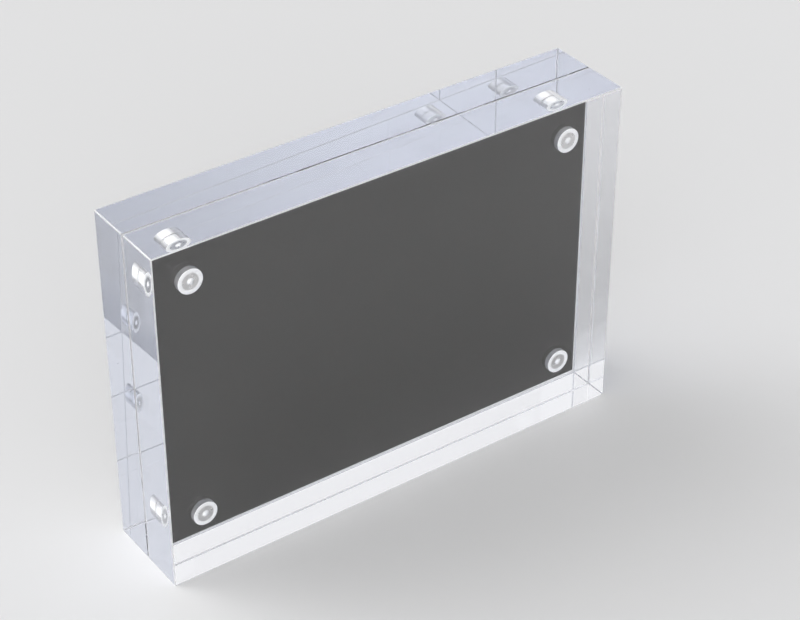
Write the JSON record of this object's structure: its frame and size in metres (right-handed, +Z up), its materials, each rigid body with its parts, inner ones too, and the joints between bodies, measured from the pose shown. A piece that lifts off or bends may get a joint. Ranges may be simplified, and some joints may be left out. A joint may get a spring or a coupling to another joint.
{
  "type": "acrylic block frame",
  "caption": "Free-standing clear acrylic block frame: a pair of thick polished blocks clamped face to face by corner magnets, with a loose insert card in the seam.",
  "frame": {"origin": "centre of the base, in the seam plane between the two blocks", "axes": "+X along the long side, +Y from the front block towards the rear block, +Z up"},
  "size_m": [0.105, 0.02, 0.074],
  "materials": {
    "clear_acrylic": "clear cast acrylic, flame-polished faces and edges",
    "nickel_plate": "bright nickel plating",
    "cured_adhesive": "cured milky adhesive",
    "card_stock": "plain dark grey matt card"
  },
  "bodies": {
    "rear_half": {"rear_block": "clear_acrylic", "rear_magnet_top_left": "nickel_plate", "rear_adhesive_top_left": "cured_adhesive", "rear_magnet_top_right": "nickel_plate", "rear_adhesive_top_right": "cured_adhesive", "rear_magnet_bottom_left": "nickel_plate", "rear_adhesive_bottom_left": "cured_adhesive", "rear_magnet_bottom_right": "nickel_plate", "rear_adhesive_bottom_right": "cured_adhesive"},
    "front_half": {"front_block": "clear_acrylic", "front_magnet_top_left": "nickel_plate", "front_adhesive_top_left": "cured_adhesive", "front_magnet_top_right": "nickel_plate", "front_adhesive_top_right": "cured_adhesive", "front_magnet_bottom_left": "nickel_plate", "front_adhesive_bottom_left": "cured_adhesive", "front_magnet_bottom_right": "nickel_plate", "front_adhesive_bottom_right": "cured_adhesive"},
    "insert": {"insert_card": "card_stock"}
  },
  "joints": [
    {"name": "front_half_pull", "type": "slide", "parent": "rear_half", "child": "front_half", "axis": [0, -1, 0], "range_m": [0, 0.06]},
    {"name": "insert_slide", "type": "slide", "parent": "rear_half", "child": "insert", "axis": [0, 0, 1], "range_m": [0, 0.08]}
  ]
}
